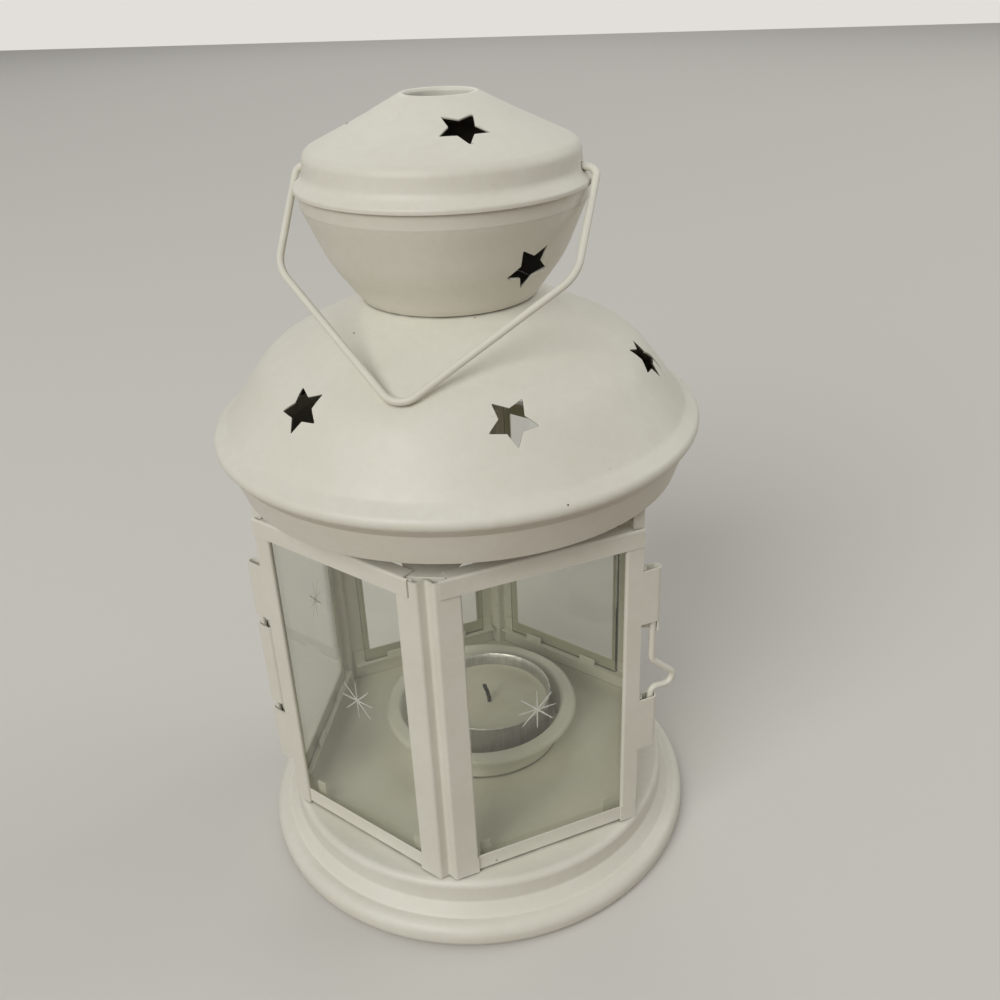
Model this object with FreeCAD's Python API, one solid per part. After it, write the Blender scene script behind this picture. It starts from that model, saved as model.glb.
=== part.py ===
import FreeCAD, Part
import math
import os

from FreeCAD import Vector

# A small tin candle lantern: a pressed base, a six-sided glazed cage whose front corner
# is a two-sided door, a round roof with punched stars, a chimney and a wire bail.
# Millimetres. The origin is the centre of the base's underside, +Z is up, and the
# corner of the door faces -Y.

# Sheet, gaps and cutting overrun
cage_sheet = 0.5
shell_sheet = 0.6
fitted_gap = 0.05
moving_gap = 0.3
overrun = 5.0
coincident = 0.000001

# Base: a pressed pan with a rolled rim
base_height = 17.1
base_wall_inset = 0.2
base_flange_run = 6.9
base_bead = 7.0
base_bead_bend_r = 3.5
base_foot_bend_r = 2.6
base_edge_bend_r = 2.0
base_wall_height = 6.5
base_cove_bend_r = 1.2
base_crease_bend_r = 0.7

# Cage: a hexagon with one corner at the front
side_count = 6
front_azimuth = -90.0
cage_r = 57.6
bend_r = 0.7
fold_ridge_from_corner = 2.4
fold_depth = 2.0
fold_bend_r = 1.0
fold_valley_bend_r = 0.6
post_leg = 9.3
edge_return = 1.0
rail_from_corner = 3.7
shelf_depth = 4.0

# Door leaf
door_foot_gap = 0.5
door_height = 95.5
door_bottom_strip = 5.1
door_top_strip = 5.1
stile_width = 4.7
top_flange_depth = 3.5
left_rail_from_corner = 4.7
right_rail_from_corner = 3.7
flange_from_corner = 6.0
pane_tab_length = 3.0
pane_tab_rise = 7.6
pane_tab_drop = 4.0
pane_tab_from_window = 1.6
gusset_back_width = 15.0
gusset_front_width = 9.0
gusset_depth = 7.5
gusset_lip_width = 7.0
gusset_lip = 2.6

# Knuckles, hinge pin, latch wire and its catch
knuckle_past_post = 6.0
knuckle_play = 0.25
knuckle_cut_rise = 3.7
knuckle_cut_run = 1.8
hinge_pin_r = 0.7
hinge_pin_recess = 1.6
hinge_upper_knuckle = (81.4, 98.0)
hinge_middle_knuckle = (52.0, 78.0)
hinge_lower_knuckle = (31.9, 48.8)
latch_wire_r = 0.9
latch_wire_end = 2.4
latch_upper_knuckle = (84.2, 100.2)
latch_lower_knuckle = (42.6, 59.2)
latch_grip_reach = 11.1
latch_grip_start_z = 71.0
latch_grip_tip_z = 60.9
latch_grip_end_z = 61.8
latch_start_bend_r = 3.0
latch_tip_bend_r = 2.4
latch_end_bend_r = 1.9
catch_lug = (80.4, 83.6)
catch_lug_gap = 0.15
catch_lug_hook = 1.2

# Fixed frame
stop_width = 2.6
plain_leg = 7.0
fixed_strip = 10.9
fixed_shelf_rise = 6.9
fixed_tab_rise = 2.6
fixed_tab_length = 6.0
fixed_tab_shares = (0.28, 0.72)
vent_gap = 5.7
ring_recess = 0.8
ring_width = 10.0
ring_lip = 4.0
ring_bend_r = 1.0

# Panes, each engraved with a spark of crossed strokes
glass = 1.5
pane_overlap = 2.0
door_pane_overlap = 1.7
spark_rise = 66.5
spark_strokes = (11.0, 12.6, 12.4, 12.8)
spark_width = 0.34
spark_depth = 0.2
door_spark_from_corner = 28.0
fixed_spark_from_corner = 33.2

# Roof, turned a little against the cage
roof_turn = -5.8
skirt_past_cage = 0.4
skirt_height = 8.6
skirt_flare = 2.9
skirt_bend_r = 0.8
brim_past_skirt = 6.4
brim_rise = 4.2
brim_bend_r = 2.2
dome_foot_past_skirt = 1.6
dome_foot_rise = 3.3
dome_foot_bend_r = 4.0
dome_shoulder_inset = 10.3
dome_shoulder_rise = 16.0
dome_shoulder_bend_r = 23.0
dome_crown_rise = 13.15
collar_r = 21.1
dome_star_count = 6
dome_star_inset = 8.4
dome_star_tilt = 38.0
dome_star_size = 6.2

# Chimney bowl
neck_depth = 2.6
neck_bend_r = 0.5
bowl_foot_r = 22.0
bowl_foot_lift = 0.15
bowl_bulge_r = 29.2
bowl_bulge_rise = 9.8
bowl_bulge_bend_r = 30.0
crease_inset = 1.3
bowl_crease_rise = 12.9
groove_depth = 0.12
groove_rise = 0.3
mouth_tuck = 0.8
bowl_star_count = 3
bowl_star_azimuth = -35.0
bowl_star_rise = 0.9
bowl_star_tilt = -26.0
bowl_star_size = 6.5

# Chimney cap
lip_past_band = 2.4
lip_rise = 3.4
lip_height = 1.1
lip_bend_r = 0.9
band_r = 33.4
band_rise = 1.9
band_bend_r = 3.0
shoulder_inset = 0.55
shoulder_rise = 5.7
shoulder_bend_r = 3.2
crown_r = 18.0
crown_rise = 7.0
crown_bend_r = 100.0
vent_hole_r = 7.9
vent_rim_rise = 5.2
vent_rim_bend_r = 1.0
vent_rim_depth = 2.9
cap_star_count = 3
cap_star_r = 19.9
cap_star_tilt = 65.4
cap_star_size = 6.2

# Stars are punched through a sheet and a little blunt at each point
star_points = 5
star_waist_share = 0.51
star_blunt_share = 0.08

# Bail: a bent wire that turns in two holes of the cap's band
bail_wire_r = 0.9
bail_hole_r = 1.2
bail_hole_rise = 0.6
bail_outside = 1.3
bail_inside = 3.3
bail_knee_inset = 1.5
bail_leg = 29.0
bail_drop = 64.2
bail_hook_bend_r = 2.5
bail_leg_bend_r = 11.0
bail_tip_bend_r = 5.5
bail_point_above_crown = 0.418

# Candle dish and tealight
dish_x = 0.5
dish_y = 8.2
dish_sheet = 0.5
dish_foot_r = 24.4
dish_foot_bend_r = 1.6
dish_height = 11.4
dish_mouth_r = 25.5
dish_mouth_bend_r = 0.8
dish_rim_r = 29.8
dish_rim_bend_r = 0.9
dish_hem = 1.4
tealight_x = 2.9
tealight_y = 7.3
tealight_r = 19.4
tealight_height = 15.3
tealight_foil = 0.3
tealight_foot_bend_r = 1.5
tealight_lip = 0.5
wax_drop = 4.7
wax_edge_bend_r = 0.3
wick_r = 0.6
wick_rise = 6.5
wick_lean = 1.6
wick_straight = 2.0
wick_bend_r = 4.0
sustainer_r = 6.5
sustainer_foil = 0.3
sustainer_neck_r = 1.3
sustainer_neck = 3.0

# Angles, heights and places that follow from the sizes above
side_angle = 360 / side_count
half_angle = side_angle / 2
side_length = 2 * cage_r * math.sin(math.radians(half_angle))
corner_slope = math.tan(math.radians(half_angle))

base_wall_r = cage_r - base_wall_inset
base_rim_r = base_wall_r + base_flange_run
knuckle_reach = side_length + knuckle_past_post

door_bottom_z = base_height + door_foot_gap
door_top_z = door_bottom_z + door_height
flange_under_z = door_top_z - cage_sheet
post_top_z = door_top_z - bend_r
door_window = (door_bottom_z + door_bottom_strip, door_top_z - door_top_strip)
fixed_window = (base_height + fixed_strip, door_window[1])
fixed_shelf_z = base_height + fixed_shelf_rise
skirt_z = door_top_z + vent_gap
ring_z = skirt_z + ring_recess
skirt_top_z = skirt_z + skirt_height
brim_z = skirt_top_z + brim_rise
dome_foot_z = brim_z + dome_foot_rise
dome_shoulder_z = dome_foot_z + dome_shoulder_rise
collar_z = dome_shoulder_z + dome_crown_rise
bowl_foot_z = collar_z + bowl_foot_lift
bulge_z = bowl_foot_z + bowl_bulge_rise
crease_z = bulge_z + bowl_crease_rise
groove_z = crease_z + groove_rise
lip_z = groove_z + lip_rise
lip_top_z = lip_z + lip_height
band_z = lip_top_z + band_rise
shoulder_z = band_z + shoulder_rise
crown_z = shoulder_z + crown_rise
vent_rim_z = crown_z + vent_rim_rise
bail_axis_z = band_z + bail_hole_rise

skirt_r = cage_r + skirt_past_cage
skirt_slope = skirt_flare / skirt_height
ring_inner_r = skirt_r - ring_width
brim_r = skirt_r + brim_past_skirt
dome_foot_r = skirt_r + dome_foot_past_skirt
dome_shoulder_r = skirt_r - dome_shoulder_inset
dome_star_r = skirt_r - dome_star_inset
lip_r = band_r + lip_past_band
shoulder_r = band_r - shoulder_inset
crease_r = lip_r - crease_inset
bail_half_width = lip_r + bail_outside
bail_knee_half_width = bail_half_width - bail_knee_inset
crown_slope = math.atan2(dome_crown_rise, dome_shoulder_r - collar_r)
bail_axis_above_crown = ((bail_axis_z - collar_z) * math.cos(crown_slope)
                         - collar_r * math.sin(crown_slope))
bail_point_share = (bail_axis_above_crown - bail_point_above_crown) / bail_drop
bail_lean = math.acos(bail_point_share) - crown_slope

pane_depth = 2 * cage_sheet + fitted_gap
stop_depth = cage_sheet + moving_gap
door_pane_end = side_length - stile_width + door_pane_overlap
tealight_z = base_height + dish_sheet
tealight_wall_r = tealight_r - tealight_lip
tealight_top_z = tealight_z + tealight_height
wax_floor_z = tealight_z + tealight_foil
wax_top_z = tealight_top_z - wax_drop

# Corners of the cage, counter-clockwise seen from above
door_corner = front_azimuth
catch_corner = front_azimuth + side_angle
right_corner = front_azimuth + 2 * side_angle
rear_corner = front_azimuth + 3 * side_angle
left_corner = front_azimuth + 4 * side_angle
hinge_corner = front_azimuth + 5 * side_angle

UP = Vector(0, 0, 1)
ORIGIN = Vector(0, 0, 0)


def heading(azimuth):
    """Unit vector in plan at an azimuth in degrees."""
    angle = math.radians(azimuth)
    return Vector(math.cos(angle), math.sin(angle), 0)


def left_normal(start, end):
    """Unit normal on the left of the run from start to end, in two dimensions."""
    run = (end[0] - start[0], end[1] - start[1])
    length = math.hypot(run[0], run[1])
    return (-run[1] / length, run[0] / length)


def moved_left(points, distance):
    """An open outline moved to its left, mitred at its corners."""
    normals = [left_normal(start, end) for start, end in zip(points, points[1:])]
    moved = []
    for index, point in enumerate(points):
        before = normals[max(index - 1, 0)]
        after = normals[min(index, len(normals) - 1)]
        both = (before[0] + after[0], before[1] + after[1])
        stretch = 2 * distance / (both[0] ** 2 + both[1] ** 2)
        moved.append((point[0] + both[0] * stretch, point[1] + both[1] * stretch))
    return moved


def turns_left(before, corner, after):
    """Whether an outline turns left at a corner."""
    first = (corner[0] - before[0], corner[1] - before[1])
    second = (after[0] - corner[0], after[1] - corner[1])
    return first[0] * second[1] - first[1] * second[0] > 0


def add_line(edges, start, end, place):
    """Add a straight edge, unless both ends are one point."""
    if math.hypot(end[0] - start[0], end[1] - start[1]) > coincident:
        edges.append(Part.LineSegment(place(start), place(end)).toShape())


def rounded_edges(points, radii, place):
    """Edges along an open outline, with a tangent arc at each corner that has a radius."""
    edges = []
    start = points[0]
    for before, corner, after, radius in zip(points, points[1:], points[2:], radii):
        back_length = math.hypot(before[0] - corner[0], before[1] - corner[1])
        on_length = math.hypot(after[0] - corner[0], after[1] - corner[1])
        back = ((before[0] - corner[0]) / back_length, (before[1] - corner[1]) / back_length)
        on = ((after[0] - corner[0]) / on_length, (after[1] - corner[1]) / on_length)
        cosine = max(-1, min(1, -(back[0] * on[0] + back[1] * on[1])))
        half_turn = math.acos(cosine) / 2
        if radius <= 0 or half_turn == 0:
            add_line(edges, start, corner, place)
            start = corner
            continue
        reach = radius * math.tan(half_turn)
        entry = (corner[0] + back[0] * reach, corner[1] + back[1] * reach)
        leave = (corner[0] + on[0] * reach, corner[1] + on[1] * reach)
        inward = (back[0] + on[0], back[1] + on[1])
        inward_length = math.hypot(inward[0], inward[1])
        sagitta = radius / math.cos(half_turn) - radius
        middle = (corner[0] + inward[0] / inward_length * sagitta,
                  corner[1] + inward[1] / inward_length * sagitta)
        add_line(edges, start, entry, place)
        edges.append(Part.Arc(place(entry), place(middle), place(leave)).toShape())
        start = leave
    add_line(edges, start, points[-1], place)
    return edges


def closed_face(edges):
    """Flat face inside edges that meet end to end."""
    return Part.Face(Part.Wire(Part.sortEdges(edges)[0]))


def flat_face(corners):
    """Flat face with straight edges between its corners."""
    return Part.Face(Part.makePolygon(corners + corners[:1]))


def sheet_face(points, radii, thickness, place):
    """Section of a bent sheet: one surface's outline, and the other one to its left."""
    other = moved_left(points, thickness)
    other_radii = []
    for before, corner, after, radius in zip(points, points[1:], points[2:], radii):
        change = -thickness if turns_left(before, corner, after) else thickness
        other_radii.append(max(radius + change, 0) if radius > 0 else 0)
    edges = rounded_edges(points, radii, place)
    edges += rounded_edges(other, other_radii, place)
    edges.append(Part.LineSegment(place(points[0]), place(other[0])).toShape())
    edges.append(Part.LineSegment(place(points[-1]), place(other[-1])).toShape())
    return closed_face(edges)


def in_section(point):
    """A radius and a height, laid in the plane that is turned about the axis."""
    return Vector(point[0], 0, point[1])


def turned_shell(corners, thickness):
    """Shell of revolution from corners of radius, height and bend radius."""
    points = [(corner[0], corner[1]) for corner in corners]
    radii = [corner[2] for corner in corners[1:-1]]
    return sheet_face(points, radii, thickness, in_section).revolve(ORIGIN, UP, 360)


def turned_bar(corners):
    """Solid of revolution from corners that start and end on the axis."""
    points = [(corner[0], corner[1]) for corner in corners]
    radii = [corner[2] for corner in corners[1:-1]]
    edges = rounded_edges(points, radii, in_section)
    add_line(edges, points[-1], points[0], in_section)
    return closed_face(edges).revolve(ORIGIN, UP, 360)


def disc(radius, low, high):
    """Round plate or bar on the vertical axis."""
    return Part.makeCylinder(radius, high - low, UP * low)


def fused(shapes):
    """One solid of shapes that touch or overlap."""
    return shapes[0].fuse(shapes[1:]).removeSplitter()


def wire_solid(points, radii, wire_r, place):
    """Round wire bent along an open outline."""
    path = Part.Wire(Part.sortEdges(rounded_edges(points, radii, place))[0])
    along = place(points[1]) - place(points[0])
    section = Part.Wire(Part.Circle(place(points[0]), along, wire_r).toShape())
    return path.makePipeShell([section], True, False)


def star_cutter(azimuth, radius, height, tilt, size):
    """Blunt five-pointed prism across a turned shell, one point down the slope."""
    outward = heading(azimuth)
    across = UP.cross(outward)
    lean = math.radians(tilt)
    normal = outward * math.cos(lean) + UP * math.sin(lean)
    down = outward * math.sin(lean) - UP * math.cos(lean)
    centre = outward * radius + UP * height - normal * overrun

    def spoke(steps, length):
        angle = math.pi * steps / star_points
        return centre + down * (length * math.cos(angle)) + across * (length * math.sin(angle))

    corners = []
    for number in range(star_points):
        before = spoke(2 * number - 1, size * star_waist_share)
        tip = spoke(2 * number, size)
        after = spoke(2 * number + 1, size * star_waist_share)
        corners.append(tip + (before - tip) * star_blunt_share)
        corners.append(tip + (after - tip) * star_blunt_share)
        corners.append(after)
    return flat_face(corners).extrude(normal * (2 * overrun))


def star_ring(count, azimuth, radius, height, tilt, size):
    """Star cutters spaced evenly round the roof."""
    return [star_cutter(azimuth + roof_turn + number * 360 / count, radius, height, tilt, size)
            for number in range(count)]


class Side:
    """One flat side of the cage: along it from a corner, into the cage, and up."""

    def __init__(self, start_azimuth, end_azimuth):
        self.start = heading(start_azimuth) * cage_r
        end = heading(end_azimuth) * cage_r
        self.along = (end - self.start).normalize()
        self.inward = ((self.start + end) * -1).normalize()

    def point(self, along, depth, height):
        return self.start + self.along * along + self.inward * depth + UP * height

    def local(self, point):
        """How far along and how deep a point lies."""
        offset = point - self.start
        return (offset.dot(self.along), offset.dot(self.inward))

    def block(self, along, depth, heights):
        """Block between two places along the side, two depths and two heights."""
        low = heights[0]
        base = flat_face([self.point(along[0], depth[0], low), self.point(along[1], depth[0], low),
                          self.point(along[1], depth[1], low), self.point(along[0], depth[1], low)])
        return base.extrude(UP * (heights[1] - low))

    def run(self, points, radii, thickness, along):
        """Bent sheet with one section in depth and height, run along the side."""
        start, end = along
        face = sheet_face(points, radii, thickness,
                          lambda point: self.point(start, point[0], point[1]))
        return face.extrude(self.along * (end - start))

    def rise(self, points, radii, heights):
        """Bent sheet with one section in plan, run up between two heights."""
        face = sheet_face(points, radii, cage_sheet,
                          lambda point: self.point(point[0], point[1], heights[0]))
        return face.extrude(UP * (heights[1] - heights[0]))


door_left = Side(door_corner, hinge_corner)
door_right = Side(door_corner, catch_corner)
fixed_right = Side(catch_corner, right_corner)
fixed_rear_right = Side(right_corner, rear_corner)
fixed_rear_left = Side(left_corner, rear_corner)
fixed_left = Side(hinge_corner, left_corner)


def base_pan():
    """Flat floor, short wall, sloping flange and a rim rolled into an open bead."""
    bead_inner_r = base_rim_r - base_bead
    bead_middle_r = base_rim_r - base_bead / 2
    return turned_shell([
        (0, base_height, 0),
        (base_wall_r, base_height, base_edge_bend_r),
        (base_wall_r, base_height - base_wall_height, base_cove_bend_r),
        (bead_middle_r - base_crease_bend_r, base_bead, base_crease_bend_r),
        (base_rim_r, base_bead, base_bead_bend_r),
        (base_rim_r, 0, base_foot_bend_r),
        (bead_inner_r, 0, base_foot_bend_r),
        (bead_inner_r, base_bead / 2, 0),
    ], -shell_sheet)


def windowed(side, points, radii, bottom, window, top, returns):
    """Upright sheet whose free edges are returned inward only beside the window."""
    first, last = returns
    plain_points = points[first:len(points) - last]
    plain_radii = radii[first:len(radii) - last]
    return fused([side.rise(plain_points, plain_radii, (bottom, window[0])),
                  side.rise(points, radii, window),
                  side.rise(plain_points, plain_radii, (window[1], top))])


def folded_post(azimuth, bottom, window, top):
    """Corner post of one sheet, folded inward at the corner."""
    before = Side(azimuth, azimuth - side_angle)
    after = Side(azimuth, azimuth + side_angle)
    fold_r = cage_r - fold_ridge_from_corner * math.sin(math.radians(half_angle)) - fold_depth
    points = [
        after.local(before.point(post_leg, edge_return, 0)),
        after.local(before.point(post_leg, 0, 0)),
        after.local(before.point(fold_ridge_from_corner, 0, 0)),
        after.local(heading(azimuth) * fold_r),
        (fold_ridge_from_corner, 0),
        (post_leg, 0),
        (post_leg, edge_return),
    ]
    radii = [bend_r, fold_bend_r, fold_valley_bend_r, fold_bend_r, bend_r]
    return windowed(after, points, radii, bottom, window, top, (1, 1))


def roll_r(pin_r):
    """Outer radius of the roll round a pin or wire."""
    return pin_r + knuckle_play + cage_sheet


def pin_along(pin_r):
    """How far from the door's corner a pin stands, in the end of its knuckles."""
    return knuckle_reach - roll_r(pin_r)


def clear_of_post(depth):
    """Nearest place to the fixed post that a knuckle may use at a depth."""
    return side_length + depth * corner_slope + moving_gap / math.cos(math.radians(half_angle))


def door_knuckle(side, pin_r, heights):
    """Flat continuation of a stile, rolled back behind itself round a pin."""
    back = 2 * roll_r(pin_r)
    points = [
        (side_length - cage_sheet, 0),
        (knuckle_reach, 0),
        (knuckle_reach, back),
        (clear_of_post(back), back),
        (clear_of_post(2 * cage_sheet), 2 * cage_sheet),
    ]
    return side.rise(points, [roll_r(pin_r), roll_r(pin_r), bend_r], heights)


def knuckle_corner(side, pin_r, bottom):
    """Wedge that takes the outer lower corner off a knuckle."""
    start = side.point(knuckle_reach, -overrun, bottom + knuckle_cut_rise)
    slant = (side.along * -knuckle_cut_run - UP * knuckle_cut_rise).normalize()
    edge = slant * (knuckle_cut_rise + overrun)
    corners = [start - edge, start + edge, start + edge + side.along * overrun * 2,
               start - edge + side.along * overrun * 2]
    return flat_face(corners).extrude(side.inward * (2 * overrun + 2 * roll_r(pin_r)))


def stile(side, pin_r, knuckles):
    """Edge strip of the door leaf with a lower and an upper knuckle."""
    window_edge = side_length - stile_width
    strip = windowed(side, [(window_edge, edge_return), (window_edge, 0), (side_length, 0)],
                     [bend_r], door_bottom_z, door_window, post_top_z, (1, 0))
    lower = door_knuckle(side, pin_r, knuckles[0])
    upper = door_knuckle(side, pin_r, knuckles[1])
    return fused([strip, lower.cut(knuckle_corner(side, pin_r, knuckles[0][0])), upper])


def cap_rail(side, start):
    """Top rail of the door: a front strip, a flange over the posts and two pane tabs."""
    front = -cage_sheet
    rail = side.run([(front, door_window[1]), (front, door_top_z), (top_flange_depth, door_top_z)],
                    [bend_r], -cage_sheet, (start, side_length))
    heights = (door_window[1] - overrun, door_top_z + overrun)
    flange_depths = (0, top_flange_depth + overrun)
    rail = rail.cut([side.block((start - overrun, flange_from_corner), flange_depths, heights),
                     side.block((door_pane_end, side_length + overrun), flange_depths, heights)])
    tab_depths = (top_flange_depth - cage_sheet, top_flange_depth)
    tab_heights = (door_top_z - pane_tab_drop, door_top_z)
    return fused([rail] + [side.block(along, tab_depths, tab_heights)
                           for along in door_tabs()])


def door_tabs():
    """Where the two tabs of a door rail hold a pane."""
    near = post_leg + pane_tab_from_window
    far = side_length - stile_width - pane_tab_from_window
    return [(near, near + pane_tab_length), (far - pane_tab_length, far)]


def foot_rail(side):
    """Bottom rail of the door, behind its posts: a strip, a shelf and two pane tabs."""
    rail = side.run([(cage_sheet, door_window[0]), (cage_sheet, door_bottom_z),
                     (shelf_depth, door_bottom_z)],
                    [bend_r], cage_sheet, (rail_from_corner, door_pane_end))
    tab_depths = (shelf_depth - cage_sheet, shelf_depth)
    tab_heights = (door_bottom_z, door_bottom_z + pane_tab_rise)
    return fused([rail] + [side.block(along, tab_depths, tab_heights)
                           for along in door_tabs()])


def gusset():
    """Small plate behind the door's folded corner, bent down in front, under both rails."""
    half_ridge = fold_ridge_from_corner * math.cos(math.radians(half_angle))
    valley_r = cage_r - fold_ridge_from_corner * math.sin(math.radians(half_angle)) - fold_depth
    valley_sheet = cage_sheet * math.hypot(half_ridge, fold_depth) / half_ridge
    outward = heading(door_corner)
    across = UP.cross(outward)
    front_r = valley_r - valley_sheet - fitted_gap
    level = UP * (flange_under_z - cage_sheet)
    front_middle = outward * front_r + level
    back_middle = outward * (front_r - gusset_depth) + level
    plate = flat_face([front_middle - across * (gusset_front_width / 2),
                       front_middle + across * (gusset_front_width / 2),
                       back_middle + across * (gusset_back_width / 2),
                       back_middle - across * (gusset_back_width / 2)]).extrude(UP * cage_sheet)
    side_step = across * (gusset_lip_width / 2)
    lip = flat_face([front_middle - side_step, front_middle + side_step,
                     front_middle + side_step - outward * cage_sheet,
                     front_middle - side_step - outward * cage_sheet]).extrude(UP * -gusset_lip)
    return fused([plate, lip])


def pane(side, along, heights, spark_along):
    """Flat pane with a spark of four crossed strokes engraved on its outer face."""
    sheet = side.block(along, (pane_depth, pane_depth + glass), heights)
    strokes = []
    for number, length in enumerate(spark_strokes):
        angle = math.pi * number / len(spark_strokes)
        run = side.along * math.cos(angle) + UP * math.sin(angle)
        width = run.cross(side.inward) * (spark_width / 2)
        middle = side.point(spark_along, pane_depth - spark_depth, spark_rise)
        half = run * (length / 2)
        stroke = flat_face([middle - half - width, middle + half - width,
                            middle + half + width, middle - half + width])
        strokes.append(stroke.extrude(side.inward * (2 * spark_depth)))
    return sheet.cut(strokes)


def door_pane(side):
    """Pane of the door leaf, standing on the foot rail's shelf."""
    heights = (door_bottom_z + bend_r, flange_under_z - cage_sheet - fitted_gap)
    return pane(side, (post_leg - pane_overlap, door_pane_end), heights, door_spark_from_corner)


def plain_post(door_side, fixed_side):
    """Post beside the door: one leg stops the door, the other carries a fixed side."""
    points = [
        (side_length - stop_width, stop_depth),
        (side_length + stop_depth * corner_slope, stop_depth),
        door_side.local(fixed_side.point(plain_leg, 0, 0)),
        door_side.local(fixed_side.point(plain_leg, edge_return, 0)),
    ]
    return windowed(door_side, points, [bend_r, bend_r], base_height, fixed_window, ring_z, (0, 1))


def hinge_post():
    """Plain post with the fixed middle knuckle of the hinge."""
    back = 2 * roll_r(hinge_pin_r)
    corner = side_length + stop_depth * corner_slope
    points = [
        (corner - cage_sheet, stop_depth + cage_sheet),
        (corner + stop_depth, 0),
        (knuckle_reach, 0),
        (knuckle_reach, back),
        (side_length + back * corner_slope - cage_sheet, back),
    ]
    roll = door_left.rise(points, [bend_r, roll_r(hinge_pin_r), roll_r(hinge_pin_r)],
                          hinge_middle_knuckle)
    return fused([plain_post(door_left, fixed_left), roll])


def catch_post():
    """Plain post with the open hook that the latch wire snaps into."""
    centre = door_right.point(pin_along(latch_wire_r), roll_r(latch_wire_r), 0)
    wire_along, wire_depth = fixed_right.local(centre)
    reach = latch_wire_r + catch_lug_gap
    behind = wire_along + reach
    outside = wire_depth - reach
    plate = fixed_right.block((behind, behind + cage_sheet),
                              (outside - cage_sheet, cage_sheet), catch_lug)
    hook = fixed_right.block((behind - catch_lug_hook, behind + cage_sheet),
                             (outside - cage_sheet, outside), catch_lug)
    return fused([plain_post(door_right, fixed_right), plate, hook])


def fixed_foot_rail(side):
    """Bottom rail of a fixed side: a strip, a shelf for the pane and two tabs."""
    end = side_length - rail_from_corner
    along = (rail_from_corner, end)
    strip = side.block(along, (cage_sheet, 2 * cage_sheet), (base_height, fixed_window[0]))
    shelf = side.block(along, (cage_sheet, shelf_depth), (fixed_shelf_z - cage_sheet, fixed_shelf_z))
    tabs = []
    for share in fixed_tab_shares:
        middle = rail_from_corner + (end - rail_from_corner) * share
        tabs.append(side.block((middle - fixed_tab_length / 2, middle + fixed_tab_length / 2),
                               (shelf_depth - cage_sheet, shelf_depth),
                               (fixed_shelf_z - cage_sheet, fixed_shelf_z + fixed_tab_rise)))
    return fused([strip, shelf] + tabs)


def fixed_cap_rail(side):
    """Top rail of a fixed side: a strip behind the posts and a flange over the pane."""
    return side.run([(cage_sheet, door_window[1]), (cage_sheet, door_top_z),
                     (shelf_depth, door_top_z)],
                    [bend_r], -cage_sheet, (rail_from_corner, side_length - rail_from_corner))


def fixed_pane(side, start_leg):
    """Pane of a fixed side, standing on its foot rail's shelf."""
    along = (start_leg - pane_overlap, side_length - post_leg + pane_overlap)
    heights = (fixed_shelf_z, post_top_z - fitted_gap)
    return pane(side, along, heights, fixed_spark_from_corner)


def roof_ring():
    """Flat ring on top of the fixed posts, with a lip soldered inside the skirt."""
    skirt_sheet = shell_sheet * math.hypot(skirt_flare, skirt_height) / skirt_height
    outer_r = skirt_r + ring_recess * skirt_slope - skirt_sheet - fitted_gap
    return turned_shell([
        (ring_inner_r, ring_z, 0),
        (outer_r, ring_z, ring_bend_r),
        (outer_r + ring_lip * skirt_slope, ring_z + ring_lip, 0),
    ], cage_sheet)


def roof_dome():
    """Skirt, brim and dome in one pressing, with stars over the cage's sides."""
    shell = turned_shell([
        (skirt_r, skirt_z, 0),
        (skirt_r + skirt_flare, skirt_top_z, skirt_bend_r),
        (brim_r, brim_z, brim_bend_r),
        (dome_foot_r, dome_foot_z, dome_foot_bend_r),
        (dome_shoulder_r, dome_shoulder_z, dome_shoulder_bend_r),
        (collar_r, collar_z, 0),
    ], shell_sheet)
    slope = dome_shoulder_rise / (dome_foot_r - dome_shoulder_r)
    star_z = dome_foot_z + (dome_foot_r - dome_star_r) * slope
    return shell.cut(star_ring(dome_star_count, door_corner + half_angle, dome_star_r, star_z,
                               dome_star_tilt, dome_star_size))


def chimney_bowl():
    """Bowl on a neck through the roof's collar, with a crease under its mouth."""
    neck_r = collar_r - shell_sheet / 2 - fitted_gap
    mouth_r = lip_r - shell_sheet - fitted_gap
    shell = turned_shell([
        (neck_r, bowl_foot_z - neck_depth, 0),
        (neck_r, bowl_foot_z, neck_bend_r),
        (bowl_foot_r, bowl_foot_z, 0),
        (bowl_bulge_r, bulge_z, bowl_bulge_bend_r),
        (crease_r, crease_z, 0),
        (crease_r - groove_depth, groove_z, 0),
        (mouth_r, lip_z + mouth_tuck, 0),
    ], shell_sheet)
    spread = (crease_r - bowl_bulge_r) / bowl_crease_rise
    return shell.cut(star_ring(bowl_star_count, bowl_star_azimuth,
                               bowl_bulge_r + bowl_star_rise * spread,
                               bulge_z + bowl_star_rise, bowl_star_tilt, bowl_star_size))


def chimney_cap():
    """Cap whose lip covers the bowl's mouth, with a rimmed vent and two bail holes."""
    shell = turned_shell([
        (lip_r, lip_z, 0),
        (lip_r, lip_top_z, lip_bend_r),
        (band_r, band_z, band_bend_r),
        (shoulder_r, shoulder_z, shoulder_bend_r),
        (crown_r, crown_z, crown_bend_r),
        (vent_hole_r, vent_rim_z, vent_rim_bend_r),
        (vent_hole_r, vent_rim_z - vent_rim_depth, 0),
    ], shell_sheet)
    slope = crown_rise / (shoulder_r - crown_r)
    star_z = shoulder_z + (shoulder_r - cap_star_r) * slope
    cutters = star_ring(cap_star_count, door_corner + half_angle, cap_star_r, star_z,
                        cap_star_tilt, cap_star_size)
    axis = heading(roof_turn)
    reach = band_r + overrun
    cutters.append(Part.makeCylinder(bail_hole_r, 2 * reach,
                                     UP * bail_axis_z - axis * reach, axis))
    return shell.cut(cutters)


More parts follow.
